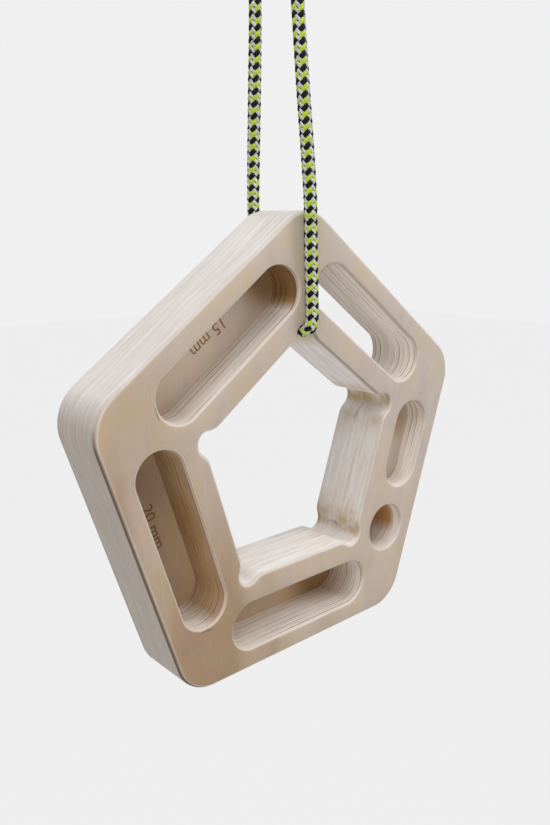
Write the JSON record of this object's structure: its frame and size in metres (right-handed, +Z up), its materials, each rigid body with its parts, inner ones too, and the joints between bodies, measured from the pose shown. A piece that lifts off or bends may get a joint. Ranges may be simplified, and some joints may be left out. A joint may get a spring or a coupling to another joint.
{
  "type": "hangboard",
  "caption": "Pentagonal climbing hangboard of birch plywood with finger pockets of several depths, hung by a notched corner in a knotted loop of cord.",
  "frame": {"origin": "the hang point, under the top of the cord loop, where a hook or a bar holds it", "axes": "+Z up along the hanging cord; the face with the pockets looks along -Y; +X to its right"},
  "size_m": [0.188, 0.0414, 0.3177],
  "materials": {
    "face_veneer": "sanded bare birch",
    "cross_veneer": "sawn and sanded birch, end grain on the upright edges",
    "upright_veneer": "sawn and sanded birch, long grain on the upright edges",
    "cord": "braided sheath in black, lime green and pale grey"
  },
  "bodies": {
    "sling": {"cord": "cord", "fisherman_knot": "cord", "upper_tail": "cord", "lower_tail": "cord"},
    "board": {"front_veneer": "face_veneer", "cross_veneer_02": "cross_veneer", "upright_veneer_03": "upright_veneer", "cross_veneer_04": "cross_veneer", "upright_veneer_05": "upright_veneer", "cross_veneer_06": "cross_veneer", "upright_veneer_07": "upright_veneer", "cross_veneer_08": "cross_veneer", "upright_veneer_09": "upright_veneer", "cross_veneer_10": "cross_veneer", "upright_veneer_11": "upright_veneer", "cross_veneer_12": "cross_veneer", "upright_veneer_13": "upright_veneer", "cross_veneer_14": "cross_veneer", "upright_veneer_15": "upright_veneer", "cross_veneer_16": "cross_veneer", "upright_veneer_17": "upright_veneer", "cross_veneer_18": "cross_veneer", "back_veneer": "face_veneer"}
  },
  "joints": [
    {"name": "board_rock", "type": "hinge", "parent": "sling", "child": "board", "pos_m": [0.0074, 0, -0.1778], "axis": [0, 1, 0], "range_deg": [-25, 25]}
  ]
}
